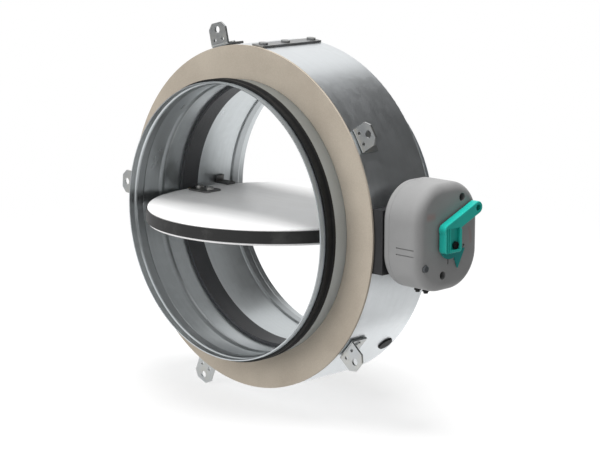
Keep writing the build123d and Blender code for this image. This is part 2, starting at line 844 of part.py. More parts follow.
with BuildPart() as axle_clip:
    with BuildSketch(Plane.YZ.offset(-clip_place + clip_thickness / 2)):
        Circle(clip_r)
        Circle(clip_groove_r + thread_gap, mode=Mode.SUBTRACT)
        with Locations((0, -clip_r / 2)):
            Rectangle(clip_groove_r, clip_r, mode=Mode.SUBTRACT)
    extrude(amount=-clip_thickness)

axle_clip.part.label = "axle_clip"
export_step(axle_clip.part, "parts/axle_clip.step")

# Base of the mechanism, an open box that sits on the tunnel inside the window
with BuildPart() as mechanism_base:
    with BuildSketch(Plane.YZ.offset(base_start)):
        with Locations((window_middle, 0)):
            Rectangle(base_length, base_height)
    extrude(amount=base_end - base_start)
    # Underside that follows the tunnel
    with BuildSketch(Plane.XZ.offset(-drum_rear)):
        Circle(bush_seat)
    extrude(amount=drum_rear - drum_front, mode=Mode.SUBTRACT)
    with BuildSketch(Plane.YZ.offset(base_end)):
        with Locations((window_middle, 0)):
            cavity = Rectangle(base_length - 2 * base_wall, base_height - 2 * base_wall)
        chamfer(cavity.vertices(), base_corner_cut)
    extrude(amount=-(base_end - base_floor), mode=Mode.SUBTRACT)
    with BuildSketch(Plane.YZ.offset(base_end)):
        Circle(bush_flange_r + swing_gap)
        with Locations(fuse_place):
            Circle(fuse_r + seat_gap)
    extrude(amount=-base_end, mode=Mode.SUBTRACT)
    # Post that holds the outer end of the closing spring
    with BuildSketch(Plane.YZ.offset(base_floor)):
        with Locations((spring_outer_r + spring_post_r + seat_gap, 0)):
            Circle(spring_post_r)
    extrude(amount=spring_start + spring_width - base_floor)
    with BuildSketch(Plane.YZ.offset(base_end)):
        with Locations(base_screw_places):
            Circle(base_screw_r + thread_gap)
    extrude(amount=-base_screw_depth, mode=Mode.SUBTRACT)

mechanism_base.part.label = "mechanism_base"
export_step(mechanism_base.part, "parts/mechanism_base.step")

# Direction from the axle to the button, and the direction across the pawl
along = (0, button_place[0] / button_distance, button_place[1] / button_distance)
across = (0, -along[2], along[1])


def pawl_plane(distance, height):
    """Plane across the housing with local x from the axle to the button and local y across the pawl."""
    middle = (height, along[1] * distance, along[2] * distance)
    return Plane(origin=middle, x_dir=along, z_dir=(1, 0, 0))


def pawl_pin_plane(sideways):
    """Plane along the pawl at its pin, with local x towards the button and its normal along the pin."""
    middle = (
        pawl_pin_height,
        along[1] * pawl_pin_distance + across[1] * sideways,
        along[2] * pawl_pin_distance + across[2] * sideways,
    )
    return Plane(origin=middle, x_dir=along, z_dir=across)


# Back of the housing, a shallow tray with the ears of the pawl's pin and the cover's bosses
with BuildPart() as housing_back:
    with BuildSketch(Plane.YZ.offset(base_end)):
        with Locations((0, housing_middle)):
            RectangleRounded(2 * housing_half_width, housing_height, housing_corner_r)
    extrude(amount=housing_back_depth - seat_gap)
    fillet(housing_back.faces().sort_by(Axis.X)[0].edges(), housing_back_round)
    with BuildSketch(Plane.YZ.offset(tray_floor)):
        with Locations((0, housing_middle)):
            RectangleRounded(inner_width, inner_height, inner_corner_r)
    extrude(amount=housing_back_depth, mode=Mode.SUBTRACT)
    with BuildSketch(Plane.YZ.offset(tray_floor)):
        with Locations(cover_screw_places):
            Circle(cover_post_r)
    extrude(amount=cover_post_height)
    ear_place = pawl_width / 2 + swing_gap + pawl_ear / 2
    with BuildSketch(pawl_plane(pawl_pin_distance, tray_floor)):
        with GridLocations(0, 2 * ear_place, 1, 2):
            Rectangle(2 * pawl_thickness, pawl_ear)
    extrude(amount=pawl_pin_height + 2 * pawl_pin_r - tray_floor)
    with BuildSketch(pawl_pin_plane(0)):
        Circle(pawl_pin_r + thread_gap)
    extrude(amount=pawl_width + pawl_ear, both=True, mode=Mode.SUBTRACT)
    with BuildSketch(Plane.YZ.offset(tray_floor)):
        Circle(arbor_hub_r + swing_gap)
        with Locations(fuse_place):
            Circle(trip_pin_r + swing_gap)
        with Locations(base_screw_places):
            Circle(base_screw_r + thread_gap)
    extrude(amount=-housing_wall, mode=Mode.SUBTRACT)
    with BuildSketch(Plane.YZ.offset(cover_post_end)):
        with Locations(cover_screw_places):
            Circle(cover_screw_r + thread_gap)
    extrude(amount=-(cover_screw_bite + screw_end_gap), mode=Mode.SUBTRACT)

housing_back.part.label = "housing_back"
export_step(housing_back.part, "parts/housing_back.step")

# Screws that hold the back to the base, in the three corners that the latch leaves free
with BuildPart() as base_screws:
    with BuildSketch(Plane.YZ.offset(tray_floor)):
        with Locations(base_screw_places):
            Circle(base_screw_r)
    extrude(amount=-(housing_wall + base_screw_depth - screw_end_gap))
    with BuildSketch(Plane.YZ.offset(tray_floor)):
        with Locations(base_screw_places):
            Circle(base_screw_head_r)
    extrude(amount=base_screw_head, taper=base_screw_taper)

base_screws.part.label = "base_screws"
export_step(base_screws.part, "parts/base_screws.step")

# Housing cover, a moulded shell with two screw posts
with BuildPart() as housing_cover:
    with BuildSketch(Plane.YZ.offset(cover_start)):
        with Locations((0, housing_middle)):
            RectangleRounded(2 * housing_half_width, housing_height, housing_corner_r)
    extrude(amount=housing_face - cover_start)
    fillet(housing_cover.faces().sort_by(Axis.X)[-1].edges(), housing_edge_round)
    with BuildSketch(Plane.YZ.offset(cover_start)):
        with Locations((0, housing_middle)):
            RectangleRounded(inner_width, inner_height, inner_corner_r)
    extrude(amount=housing_inside - cover_start, mode=Mode.SUBTRACT)
    ceiling = housing_cover.faces().filter_by(Plane.YZ).sort_by(Axis.X)[1]
    fillet(ceiling.edges(), inner_round)
    with BuildSketch(Plane.YZ.offset(cover_post_end + seat_gap)):
        with Locations(cover_screw_places):
            Circle(cover_post_r)
    extrude(amount=housing_inside - cover_post_end - seat_gap)
    with BuildSketch(Plane.YZ.offset(housing_face)):
        with Locations(cover_screw_places):
            Circle(cover_well_r)
    extrude(amount=-(housing_face - well_floor), mode=Mode.SUBTRACT)
    with BuildSketch(Plane.YZ.offset(housing_face)):
        with Locations(cover_screw_places):
            Circle(cover_screw_r + thread_gap)
        with Locations(button_place):
            Circle(button_r + swing_gap)
        Circle(axle_r + swing_gap)
    extrude(amount=-(housing_face - cover_post_end), mode=Mode.SUBTRACT)
    # Room for the button's flange in the rounded inside
    with BuildSketch(Plane.YZ.offset(housing_inside)):
        with Locations(button_place):
            Circle(button_flange_r + swing_gap)
    extrude(amount=-inner_round, mode=Mode.SUBTRACT)
    # Two slits in the side wall, the index line under the lever and the locking hole
    with BuildSketch(Plane.XZ.offset(housing_half_width)):
        for height in slit_heights:
            with Locations((housing_face - slit_length / 2, height)):
                Rectangle(slit_length, slit_width)
    extrude(amount=-mark_depth, mode=Mode.SUBTRACT)
    with BuildSketch(Plane.YZ.offset(housing_face)):
        with Locations((index_line_place, (index_line_top + index_line_bottom) / 2)):
            Rectangle(index_line_width, index_line_top - index_line_bottom)
    extrude(amount=-mark_depth, mode=Mode.SUBTRACT)
    with BuildSketch(Plane.YZ.offset(housing_face)):
        with Locations(lock_hole_place):
            Circle(lock_hole_r)
    extrude(amount=-lock_hole_depth, mode=Mode.SUBTRACT)
    # Holes of the blank cable entries
    with BuildSketch(Plane.XY.offset(housing_bottom - cut_over)):
        for distance in entry_distances:
            with Locations((cover_start + distance, entry_offset)):
                Circle(entry_r + seat_gap)
    extrude(amount=housing_wall + 3 * cut_over, mode=Mode.SUBTRACT)

housing_cover.part.label = "housing_cover"
export_step(housing_cover.part, "parts/housing_cover.step")

# Screws at the bottom of the cover's wells
with BuildPart() as cover_screws:
    with BuildSketch(Plane.YZ.offset(cover_screw_end)):
        with Locations(cover_screw_places):
            Circle(cover_screw_r)
    extrude(amount=well_floor - cover_screw_end)
    with BuildSketch(Plane.YZ.offset(well_floor)):
        with Locations(cover_screw_places):
            Circle(cover_screw_head_r)
    extrude(amount=cover_screw_head)
    with BuildSketch(Plane.YZ.offset(well_floor + cover_screw_head)):
        with Locations(cover_screw_places):
            Rectangle(cross_slot, cross_length)
            Rectangle(cross_length, cross_slot)
    extrude(amount=-cover_screw_head / 2, mode=Mode.SUBTRACT)

cover_screws.part.label = "cover_screws"
export_step(cover_screws.part, "parts/cover_screws.step")

# Rubber plugs in the two cable entries
corner_offset = max(abs(entry_offset) - housing_half_width + housing_corner_r, 0)
entry_seat = housing_bottom + housing_corner_r - sqrt(housing_corner_r**2 - corner_offset**2)
with BuildPart() as cable_entry_plugs:
    for distance in entry_distances:
        with BuildSketch(Plane.XY.offset(entry_seat + housing_wall)):
            with Locations((cover_start + distance, entry_offset)):
                Circle(entry_r)
        extrude(amount=-(housing_wall + 2 * seat_gap))
        with BuildSketch(Plane.XY.offset(entry_seat - 2 * seat_gap)):
            with Locations((cover_start + distance, entry_offset)):
                Circle(entry_flange_r)
        extrude(amount=-entry_flange)
        with BuildSketch(Plane.XY.offset(entry_seat - 2 * seat_gap - entry_flange)):
            with Locations((cover_start + distance, entry_offset)):
                Circle(entry_r)
        extrude(amount=-entry_proud, taper=entry_taper)

cable_entry_plugs.part.label = "cable_entry_plugs"
export_step(cable_entry_plugs.part, "parts/cable_entry_plugs.step")

# Arbor on the square of the axle: the spring turns its hub and the pawl holds its disc
with BuildPart() as spring_arbor:
    with BuildSketch(Plane.YZ.offset(arbor_start)):
        Circle(arbor_hub_r)
    extrude(amount=arbor_disc_start - arbor_start)
    with BuildSketch(Plane.YZ.offset(arbor_disc_start)):
        Circle(arbor_disc_r)
    extrude(amount=arbor_disc_thickness)
    with BuildSketch(pawl_plane(0, arbor_disc_end)):
        with Locations(((notch_floor_r + arbor_disc_r + cut_over) / 2, 0)):
            Rectangle(arbor_disc_r + cut_over - notch_floor_r, notch_width)
    extrude(amount=-arbor_disc_thickness, mode=Mode.SUBTRACT)
    with BuildSketch(Plane.YZ.offset(arbor_start)):
        Rectangle(square_hole, square_hole)
    extrude(amount=arbor_disc_end - arbor_start, mode=Mode.SUBTRACT)

spring_arbor.part.label = "spring_arbor"
export_step(spring_arbor.part, "parts/spring_arbor.step")

# Closing spring, a flat strip wound in half turns that grow outwards
with BuildPart() as closing_spring:
    with BuildSketch(Plane.YZ.offset(spring_start)):
        with BuildLine() as coil:
            for half_turn in range(2 * spring_turns):
                side = 1 if half_turn % 2 == 0 else -1
                coil_r = spring_inner_r + (half_turn + 0.5) * spring_pitch / 2
                CenterArc((-side * spring_pitch / 4, 0), coil_r, 90 - 90 * side, 180)
        trace(coil.line.edges(), spring_strip)
    extrude(amount=spring_width)

closing_spring.part.label = "closing_spring"
export_step(closing_spring.part, "parts/closing_spring.step")

# Pawl: its tooth stands over the arbor's notch and its tail under the button
with BuildPart() as latch_pawl:
    pawl_near = pawl_tooth_r - tooth_length
    pawl_far = button_distance + pawl_tail
    with BuildSketch(pawl_plane((pawl_near + pawl_far) / 2, pawl_bottom)):
        SlotOverall(pawl_far - pawl_near, pawl_width)
    extrude(amount=pawl_thickness)
    with BuildSketch(pawl_plane(pawl_tooth_r, pawl_bottom)):
        Rectangle(tooth_length, tooth_width)
    extrude(amount=swing_gap - pawl_gap)
    with BuildSketch(pawl_pin_plane(0)):
        Circle(pawl_boss_r)
    extrude(amount=pawl_width / 2, both=True)
    with BuildSketch(pawl_pin_plane(0)):
        Circle(pawl_pin_r + run_gap)
    extrude(amount=pawl_width, both=True, mode=Mode.SUBTRACT)

latch_pawl.part.label = "latch_pawl"
export_step(latch_pawl.part, "parts/latch_pawl.step")

with BuildPart() as latch_pin:
    pin_length = pawl_width + 2 * (swing_gap + pawl_ear + pawl_pin_proud)
    with BuildSketch(pawl_pin_plane(-pin_length / 2)):
        Circle(pawl_pin_r)
    extrude(amount=pin_length)

latch_pin.part.label = "latch_pin"
export_step(latch_pin.part, "parts/latch_pin.step")

# Coil spring under the pawl's tail
with BuildPart() as latch_spring:
    latch_spring_height = pawl_bottom - swing_gap - tray_floor - latch_spring_wire - seat_gap
    coil_start = pawl_plane(button_distance, tray_floor + latch_spring_wire / 2 + seat_gap).origin
    with BuildLine() as coil_path:
        Helix(
            pitch=latch_spring_height / latch_spring_turns,
            height=latch_spring_height,
            radius=latch_spring_r,
            center=tuple(coil_start),
            direction=(1, 0, 0),
        )
    with BuildSketch(Plane(origin=coil_path.line @ 0, z_dir=coil_path.line % 0)):
        Circle(latch_spring_wire / 2)
    sweep(path=coil_path.line, is_frenet=True)

latch_spring.part.label = "latch_spring"
export_step(latch_spring.part, "parts/latch_spring.step")

# Release button, with a flange that keeps it in the cover
with BuildPart() as release_button:
    with BuildSketch(Plane.YZ.offset(pawl_top + button_lift + button_stem)):
        with Locations(button_place):
            Circle(button_r)
    extrude(amount=housing_face + button_proud - pawl_top - button_lift - button_stem)
    fillet(release_button.faces().sort_by(Axis.X)[-1].edges(), button_round)
    with BuildSketch(Plane.YZ.offset(housing_inside - swing_gap)):
        with Locations(button_place):
            Circle(button_flange_r)
    extrude(amount=-button_flange)
    with BuildSketch(Plane.YZ.offset(pawl_top + button_lift)):
        with Locations(button_place):
            Circle(button_stem_r)
    extrude(amount=button_stem)

release_button.part.label = "release_button"
export_step(release_button.part, "parts/release_button.step")

# Holder of the heat fuse, a slotted tube with a flange inside the base
with BuildPart() as fuse_holder:
    with BuildSketch(Plane.YZ.offset(fuse_tip)):
        with Locations(fuse_place):
            Circle(fuse_r)
    extrude(amount=fuse_end - fuse_tip)
    with BuildSketch(Plane.YZ.offset(base_floor + seat_gap)):
        with Locations(fuse_place):
            RegularPolygon(fuse_flange_r, 6, major_radius=True)
    extrude(amount=fuse_flange)
    with BuildSketch(Plane.YZ.offset(fuse_tip + fuse_cap)):
        with Locations(fuse_place):
            Circle(fuse_bore_r)
    extrude(amount=fuse_end - fuse_tip, mode=Mode.SUBTRACT)
    with BuildSketch(Plane.YZ.offset(fuse_tip)):
        with Locations(fuse_place):
            Rectangle(link_width + 2 * thread_gap, link_thickness + 2 * thread_gap)
    extrude(amount=fuse_cap, mode=Mode.SUBTRACT)

fuse_holder.part.label = "fuse_holder"
export_step(fuse_holder.part, "parts/fuse_holder.step")

# Soldered link at the tip of the holder
with BuildPart() as fusible_link:
    with BuildSketch(Plane.YZ.offset(link_tip)):
        with Locations(fuse_place):
            Rectangle(link_width, link_thickness)
    extrude(amount=link_end - link_tip)
    with BuildSketch(Plane.XY.offset(fuse_place[1])):
        with Locations(
            (link_tip + link_hole_inset, fuse_place[0]), (fuse_tip - link_hole_inset, fuse_place[0])
        ):
            Circle(link_hole_r)
    extrude(amount=link_thickness, both=True, mode=Mode.SUBTRACT)

fusible_link.part.label = "fusible_link"
export_step(fusible_link.part, "parts/fusible_link.step")

# Trip pin, which the link holds back from the pawl
with BuildPart() as trip_pin:
    with BuildSketch(Plane.YZ.offset(trip_pin_start)):
        with Locations(fuse_place):
            Circle(fuse_bore_r - seat_gap)
    extrude(amount=trip_pin_head)
    with BuildSketch(Plane.YZ.offset(trip_pin_start)):
        with Locations(fuse_place):
            Circle(trip_pin_r)
    extrude(amount=trip_pin_end - trip_pin_start)

trip_pin.part.label = "trip_pin"
export_step(trip_pin.part, "parts/trip_pin.step")

# Pointer: a disc under the lever with an arrow below it
with BuildPart() as pointer:
    with BuildSketch(Plane.YZ.offset(pointer_start)):
        Circle(pointer_hub_r)
        with BuildLine():
            Polyline(arrow_left, arrow_tip, arrow_right, close=True)
        make_face()
        Rectangle(square_hole, square_hole, mode=Mode.SUBTRACT)
    extrude(amount=pointer_thickness)

pointer.part.label = "pointer"
export_step(pointer.part, "parts/pointer.step")

# Lever: its block takes the axle's square end and its screw, and the arm lies along its top
with BuildPart() as handle:
    with BuildSketch(Plane.YZ.offset(lever_start)):
        with Locations(((block_front + block_rear) / 2, (block_bottom + block_top) / 2)):
            RectangleRounded(block_rear - block_front, block_top - block_bottom, block_round)
    extrude(amount=lever_depth)
    arm_dir = (0, cos(radians(lever_angle)), sin(radians(lever_angle)))
    arm_plane = Plane(origin=(lever_start, 0, 0), x_dir=arm_dir, z_dir=(1, 0, 0))
    with BuildSketch(arm_plane):
        with Locations(((arm_start + arm_end) / 2, arm_offset)):
            SlotOverall(arm_end - arm_start, arm_width)
    extrude(amount=lever_depth)
    fillet(handle.faces().sort_by(Axis.X)[-1].edges(), lever_edge_round)
    with BuildSketch(arm_plane):
        with Locations((arm_end - arm_hole_inset, arm_offset)):
            Circle(arm_hole_r)
    extrude(amount=lever_depth, mode=Mode.SUBTRACT)
    with BuildSketch(Plane.YZ.offset(lever_end)):
        with Locations(((socket_front + socket_rear) / 2, (socket_bottom + socket_top) / 2)):
            Rectangle(socket_rear - socket_front, socket_top - socket_bottom)
    extrude(amount=-socket_depth, mode=Mode.SUBTRACT)
    with BuildSketch(Plane.YZ.offset(lever_end)):
        for place in groove_places:
            with Locations((place, (block_bottom + block_top) / 2)):
                Rectangle(groove_line, block_top - block_bottom)
    extrude(amount=-groove_line_depth, mode=Mode.SUBTRACT)
    with BuildSketch(Plane.YZ.offset(lever_start)):
        Rectangle(square_hole, square_hole)
    extrude(amount=socket_floor - lever_web - lever_start, mode=Mode.SUBTRACT)
    with BuildSketch(Plane.YZ.offset(lever_start)):
        Circle(lever_screw_r + thread_gap)
    extrude(amount=lever_depth, mode=Mode.SUBTRACT)

handle.part.label = "handle"
export_step(handle.part, "parts/handle.step")

# Screw that holds the lever on the axle
with BuildPart() as handle_screw:
    with BuildSketch(Plane.YZ.offset(socket_floor)):
        Circle(lever_screw_head_r)
    extrude(amount=lever_screw_head)
    with BuildSketch(Plane.YZ.offset(socket_floor + lever_screw_head)):
        RegularPolygon(hex_flats / 2, 6, major_radius=False)
    extrude(amount=-lever_screw_head / 2, mode=Mode.SUBTRACT)
    with BuildSketch(Plane.YZ.offset(socket_floor)):
        Circle(lever_screw_r)
    extrude(amount=-lever_screw_depth)

handle_screw.part.label = "handle_screw"
export_step(handle_screw.part, "parts/handle_screw.step")
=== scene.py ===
from math import cos, pi, radians, sin

import bpy
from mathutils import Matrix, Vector


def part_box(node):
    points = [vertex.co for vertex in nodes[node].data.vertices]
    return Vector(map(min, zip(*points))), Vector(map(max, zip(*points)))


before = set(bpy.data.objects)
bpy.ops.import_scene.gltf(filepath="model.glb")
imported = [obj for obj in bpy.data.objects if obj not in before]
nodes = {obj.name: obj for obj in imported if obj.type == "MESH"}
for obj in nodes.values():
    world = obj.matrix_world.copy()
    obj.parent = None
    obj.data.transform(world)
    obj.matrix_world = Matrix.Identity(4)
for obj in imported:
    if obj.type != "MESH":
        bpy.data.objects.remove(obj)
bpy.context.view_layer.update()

# A round fire damper with its blade open. The duct axis is Y, with the front towards -Y,
# the blade's axles lie along X, and the release mechanism stands on +X.

for each in bpy.context.selected_objects:
    each.select_set(False)

# Sizes that the finishes and the floor line up with, read from the frame
tunnel_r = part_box("tunnel")[1].x
cover_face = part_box("housing_cover")[1].x
handle_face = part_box("handle")[1].x
floor_height = min(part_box(f"fixing_lug_{number}")[0].z for number in range(1, 6))

# Places on the damper, in metres
groove_crest_r = 0.1211  # inside the tunnel, where the grooves stand in
# Painted shade on the housing's rear, behind the drum, fading out over these x
rear_shade_full = 0.1622  # x up to which the housing's rear is dark, behind the drum
rear_shade_end = 0.1660
well_shade_start = 0.1825  # x below the floors of the screws' wells
well_shade_full = 0.1830
line_shade_start = 0.2005  # x below the floor of the index line
line_shade_full = 0.2008

# Printed marks and painted shade on the housing and the lever:
# y and z of the middle, half the width and half the height
red_block = (-0.0225, 0.0252, 0.0052, 0.0026)
arc_window = (0.026, 0.0045, 0.008, 0.0075)
arc_r = 0.0275
index_line = (-0.0009, -0.01175, 0.0005, 0.0053)
upper_well = (0.0160, 0.0376, 0.0036, 0.0036)
lower_well = (-0.0073, -0.0256, 0.0036, 0.0036)
lever_recess = (-0.0022, 0.0057, 0.0056, 0.0091)
slit_place = -0.0377  # y of the two slits in the housing's side
upper_slit = -0.0012
lower_slit = -0.0066
slit_middle = cover_face - 0.0150

# Colours, linear red, green and blue. A pair is the two that a finish goes between.
tunnel_zinc = ((0.63, 0.665, 0.68), (0.495, 0.525, 0.535))
# Lighter, bluer tint on the tunnel's outside, a painted reflection
tunnel_outside_painted_reflection = (0.58, 0.63, 0.66)
# Painted shade on the crests inside the tunnel
crest_painted_shade = (0.16, 0.17, 0.18)
drum_zinc = ((0.84, 0.87, 0.89), (0.72, 0.75, 0.765))
lug_zinc = (0.50, 0.52, 0.53)
seam_zinc = (0.38, 0.39, 0.40)
dull_zinc = (0.20, 0.205, 0.21)
screw_zinc = (0.46, 0.46, 0.45)
black_zinc = (0.06, 0.06, 0.065)
axle_steel = (0.60, 0.61, 0.62)
pin_steel = (0.56, 0.57, 0.58)
blued_steel = (0.16, 0.17, 0.20)
bronze = (0.46, 0.34, 0.20)
brass = (0.70, 0.53, 0.25)
beige_board = ((0.38, 0.33, 0.27), (0.495, 0.44, 0.365))
board_pore = (0.22, 0.18, 0.135)
white_board = ((0.83, 0.825, 0.82), (0.92, 0.92, 0.92))
graphite = ((0.036, 0.038, 0.042), (0.056, 0.058, 0.063))
duct_seal_tone = 0.011
blade_seal_tone = 0.026
black_plastic = ((0.012, 0.012, 0.013), (0.024, 0.024, 0.026))
dark_plastic = ((0.05, 0.055, 0.06), (0.07, 0.075, 0.08))
grey_plastic = ((0.225, 0.225, 0.225), (0.27, 0.27, 0.27))
teal_plastic = ((0.010, 0.37, 0.31), (0.016, 0.44, 0.37))
dark_teal_plastic = ((0.006, 0.20, 0.19), (0.010, 0.26, 0.245))
faded_red = (0.30, 0.11, 0.10)
# Painted shade in the housing's screw wells and slits, and the dark index line
dark_line_and_painted_shade = (0.02, 0.02, 0.02)
# Painted shade on the housing's rear, behind the drum
rear_painted_shade = (0.03, 0.03, 0.03)
# Painted shade in the lever's recess
recess_shade_teal = (0.004, 0.10, 0.11)

# Camera, fitted to the photo: direction, distance and the point it was measured from
camera_azimuth = radians(46.2)
camera_elevation = radians(10.8)
camera_distance = 1.772
camera_origin = Vector((0, -0.0224, 0))
camera_target = Vector((0.050, -0.0224, -0.002))
frame_width = 600
focal_pixels = 795.5
enlargement = 2.5
film_width = 36.0

# World and floor
diffuse_world = 0.42
shown_world = 1.0
floor_grey = 0.90
floor_cover = 0.28  # of the floor at its middle, by which it hides the white behind it
floor_cover_r = 0.25  # up to which the floor is at its full cover
floor_clear_r = 0.96  # from which it isn't seen
floor_r = 1.2
floor_sides = 96
stage_roughness = 0.9
overhead = 9  # height of the point that a card on the floor is turned towards


class Wire:
    """A node's output, which turns Python's operators into Math nodes."""

    def __init__(self, tree, socket):
        self.tree = tree
        self.socket = socket

    def math(self, operation, *values):
        return self.tree.add("ShaderNodeMath", {"operation": operation}, dict(enumerate(values)))

    def __add__(self, other):
        return self.math("ADD", self, other)

    def __radd__(self, other):
        return self.math("ADD", other, self)

    def __sub__(self, other):
        return self.math("SUBTRACT", self, other)

    def __rsub__(self, other):
        return self.math("SUBTRACT", other, self)

    def __mul__(self, other):
        return self.math("MULTIPLY", self, other)

    def __rmul__(self, other):
        return self.math("MULTIPLY", other, self)

    def __pow__(self, other):
        return self.math("POWER", self, other)

    def abs(self):
        return self.math("ABSOLUTE", self)

    def sine(self):
        return self.math("SINE", self)

    def most(self, other):
        return self.math("MAXIMUM", self, other)

    def span(self, low, high, to_low=0.0, to_high=1.0, shape="SMOOTHSTEP"):
        """This value brought from one range to another, and held at its ends."""
        values = {
            "Value": self,
            "From Min": low,
            "From Max": high,
            "To Min": to_low,
            "To Max": to_high,
        }
        return self.tree.add("ShaderNodeMapRange", {"interpolation_type": shape}, values)

    def near(self, middle, inner, outer, level=1):
        """Mask that is full up to the inner distance from the middle, and gone from the outer."""
        return (self - middle).abs().span(inner, outer, level, 0)


class Tree:
    """A node tree that one method adds nodes to."""

    def __init__(self, tree):
        self.tree = tree

    def fill(self, node, values):
        """Links the wires to a node's sockets, and sets the numbers and colours on them."""
        for key, value in values.items():
            socket = node.inputs[key]
            if isinstance(value, Wire):
                self.tree.links.new(value.socket, socket)
            elif socket.type == "RGBA":
                socket.default_value = (*value, 1.0)
            else:
                socket.default_value = value

    def add(self, kind, settings=None, values=None, output=0):
        """Adds a node, sets it up, fills its sockets and returns one output."""
        node = self.tree.nodes.new(kind)
        for key, value in (settings or {}).items():
            setattr(node, key, value)
        self.fill(node, values or {})
        return Wire(self, node.outputs[output])


class Shade(Tree):
    """A material's node tree. Object coordinates are metres in the shared frame."""

    def __init__(self, name):
        self.material = bpy.data.materials.new(name)
        self.material.use_nodes = True
        super().__init__(self.material.node_tree)
        self.surface = self.tree.nodes["Principled BSDF"]
        self.place = self.add("ShaderNodeTexCoord", output="Object")
        axes = self.add("ShaderNodeSeparateXYZ", values={0: self.place}).socket.node
        self.x, self.y, self.z = (Wire(self, socket) for socket in axes.outputs)

    def noise(self, scale, detail=3.0, roughness=0.55, stretch=(1, 1, 1)):
        """Soft noise around 0.5, with the number of waves per metre, stretched along an axis."""
        place = self.place
        if stretch != (1, 1, 1):
            place = self.add("ShaderNodeMapping", values={"Vector": place, "Scale": stretch})
        values = {"Vector": place, "Scale": scale, "Detail": detail, "Roughness": roughness}
        return self.add("ShaderNodeTexNoise", values=values)

    def cells(self, scale, output="Color"):
        """Crystal cells, as a random colour or a distance."""
        values = {"Vector": self.place, "Scale": scale}
        return self.add("ShaderNodeTexVoronoi", values=values, output=output)

    def blend(self, factor, first, second):
        """Colour that goes from the first to the second as the factor goes from 0 to 1."""
        values = {0: factor, 6: first, 7: second}  # the Mix node's sockets for colours
        return self.add("ShaderNodeMix", {"data_type": "RGBA"}, values, 2)

    def bump(self, height, depth, strength=0.5):
        """Surface relief, with its depth in metres."""
        values = {"Height": height, "Distance": depth, "Strength": strength}
        return self.add("ShaderNodeBump", values=values)

    def finish(self, colour, roughness, normal=None, metallic=0.0, specular=0.5, alpha=1.0):
        """Sets the surface: colours, links and numbers on the shader's own sockets."""
        values = {
            "Base Color": colour,
            "Roughness": roughness,
            "Metallic": metallic,
            "Specular IOR Level": specular,
            "Alpha": alpha,
        }
        if normal is not None:
            values["Normal"] = normal
        self.fill(self.surface, values)
        return self.material


def radius(first, second):
    """Distance from the axis that both coordinates are measured from."""
    return (first * first + second * second) ** 0.5


def field(shade, middle_y, middle_z, half_width, half_height, edge=0.0005):
    """Mask of a rectangle on the housing's face, with soft edges."""
    across = shade.y.near(middle_y, half_width - edge, half_width + edge)
    upright = shade.z.near(middle_z, half_height - edge, half_height + edge)
    return across * upright


def galvanised(name, light, dark, shine, crest_r=None):
    """Galvanised sheet: faint zinc spangle, rolling lines round the tube and a cloudy sheen.

    Where a crest is given, as on the tunnel, painted shade darkens what stands further in, and
    the outside is duller, and painted lighter and bluer as a painted reflection.
    """
    shade = Shade(name)
    spangle = shade.add("ShaderNodeSeparateColor", values={0: shade.cells(150)})
    cloud = shade.noise(9, detail=4)
    rolled = shade.noise(30, detail=5, stretch=(0.25, 9, 0.25))
    tone = (spangle - 0.5) * 0.10 + (cloud - 0.5) * 0.5 + (rolled - 0.5) * 0.30 + 0.5
    colour = shade.blend(tone.span(0.2, 0.8), dark, light)
    roughness = spangle * 0.05 + cloud * 0.10 + rolled * 0.08 + shine
    if crest_r is not None:
        from_axis = radius(shade.x, shade.z)
        # Painted shade: darker where the grooves stand in, inside the tunnel
        crest_shade = from_axis.span(crest_r - 0.0004, crest_r + 0.0004, 0.4, 0.0)
        colour = shade.blend(crest_shade, colour, crest_painted_shade)
        # Outside of the tunnel: painted lighter and bluer as a painted reflection, and rougher
        outside = from_axis.span(tunnel_r - 0.0004, tunnel_r - 0.0001)
        colour = shade.blend(outside, colour, tunnel_outside_painted_reflection)
        roughness = roughness + outside * 0.15
    relief = cloud * 0.6 + rolled * 0.2
    return shade.finish(colour, roughness, shade.bump(relief, 0.0004), metallic=1.0)


def fire_board(name):
    """Beige calcium silicate board: fine pores, pale dust and a few darker stains."""
    shade = Shade(name)
    stain = shade.noise(14, detail=5, roughness=0.6)
    grain = shade.noise(900, detail=4, roughness=0.7)
    pit = shade.cells(1300, output="Distance").span(0.0, 0.28, 1.0, 0.0)
    tone = stain * 0.6 + grain * 0.4
    colour = shade.blend(tone.span(0.3, 0.7), *beige_board)
    colour = shade.blend(pit * 0.25, colour, board_pore)
    roughness = 0.86 + (grain - 0.5) * 0.1
    relief = grain * 0.5 + stain * 0.4 - pit * 0.6
    return shade.finish(colour, roughness, shade.bump(relief, 0.0003, 0.6), specular=0.25)


def blade_board(name):
    """Off-white board of the blade, sanded smooth, with a grey cast in places."""
    shade = Shade(name)
    cloud = shade.noise(11, detail=4)
    grain = shade.noise(1200, detail=3, roughness=0.7)
    sanded = shade.noise(60, detail=4, stretch=(0.2, 8, 1))
    tone = cloud * 0.5 + sanded * 0.3 + grain * 0.2
    colour = shade.blend(tone.span(0.32, 0.68), *white_board)
    roughness = 0.42 + (cloud - 0.5) * 0.2
    relief = grain * 0.5 + sanded * 0.3
    return shade.finish(colour, roughness, shade.bump(relief, 0.00015), specular=0.4)


def rubber(name, tone):
    """Black rubber with a fine grain and a little dust on it."""
    shade = Shade(name)
    dust = shade.noise(45, detail=5, roughness=0.65)
    grain = shade.noise(1500, detail=2)
    dusty = (tone * 3.2, tone * 3.2, tone * 3.1)
    colour = shade.blend(dust.span(0.48, 0.75) * 0.45, (tone, tone, tone), dusty)
    roughness = dust * 0.25 + 0.38
    return shade.finish(colour, roughness, shade.bump(grain, 0.0001), specular=0.2)


